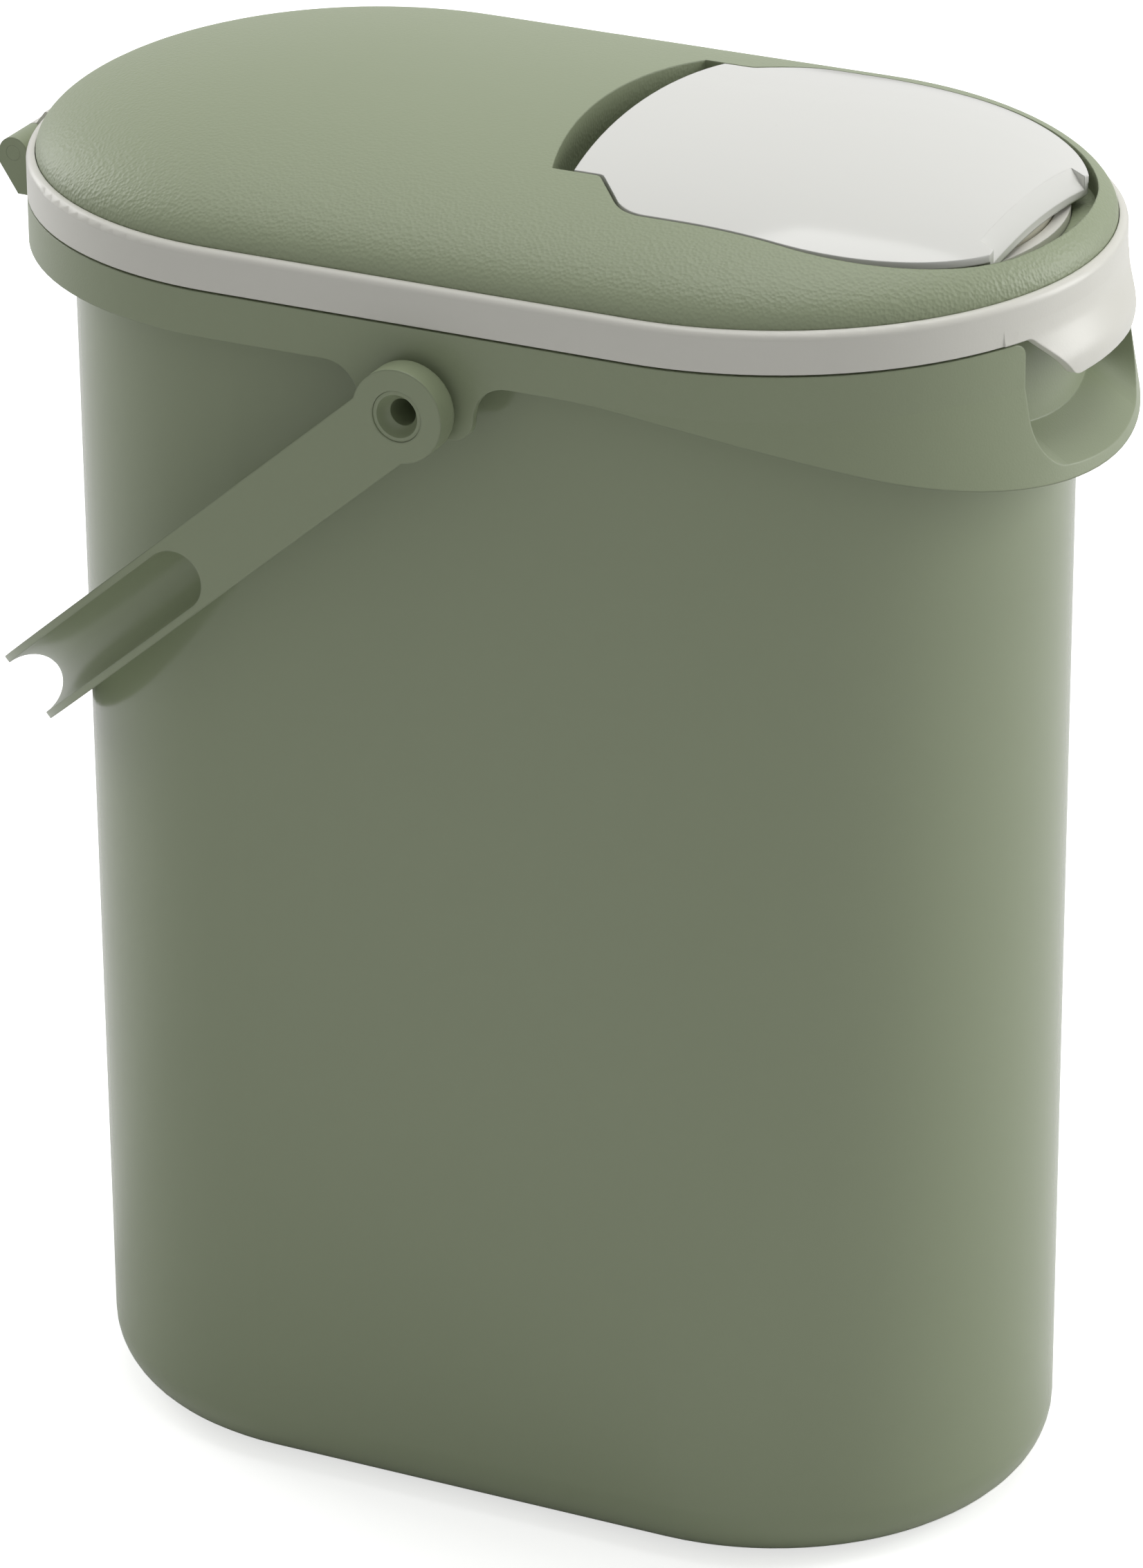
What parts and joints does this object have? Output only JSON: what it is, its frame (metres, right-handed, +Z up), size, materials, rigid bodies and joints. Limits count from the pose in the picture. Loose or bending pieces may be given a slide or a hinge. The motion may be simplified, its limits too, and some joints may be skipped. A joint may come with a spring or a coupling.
{
  "type": "pet food storage container",
  "caption": "Tall oblong food container with a rim collar, rear-hinged lid, crowned cover, hinged pouring flap and swinging bail handle.",
  "frame": {"origin": "centre of the base's resting face, midway between the two end arcs of the tub", "axes": "+Z up, long axis along X with the pouring end at +X and the lid hinge at -X, long sides facing +Y and -Y"},
  "size_m": [0.3038, 0.1948, 0.3698],
  "materials": {
    "tub_green": "smooth glossy sage green",
    "collar_green": "satin sage green with a very fine grain",
    "handle_green": "satin sage green",
    "pin_green": "satin sage green",
    "cover_green": "sage green with a fine leather-like grain on the shoulder",
    "lid_white": "satin warm off-white",
    "flap_white": "glossy off-white",
    "soft_seal": "soft cream silicone"
  },
  "bodies": {
    "container": {"container_body": "tub_green", "rim_collar": "collar_green", "handle_pin_left": "pin_green", "handle_pin_right": "pin_green", "lid_hinge_pin": "pin_green"},
    "lid": {"lid_base": "lid_white", "lid_cover": "cover_green", "lid_gasket": "soft_seal"},
    "flap": {"pour_flap": "flap_white", "flap_seal": "soft_seal"},
    "handle": {"carry_handle": "handle_green"}
  },
  "joints": [
    {"name": "lid_hinge", "type": "hinge", "parent": "container", "child": "lid", "pos_m": [-0.1505, 0, 0.337], "axis": [0, -1, 0], "range_deg": [0, 105]},
    {"name": "flap_hinge", "type": "hinge", "parent": "lid", "child": "flap", "pos_m": [0.0255, 0, 0.3614], "axis": [0, -1, 0], "range_deg": [0, 90]},
    {"name": "handle_pivot", "type": "hinge", "parent": "container", "child": "handle", "pos_m": [0, 0, 0.317], "axis": [0, 1, 0], "range_deg": [0, 261]}
  ]
}
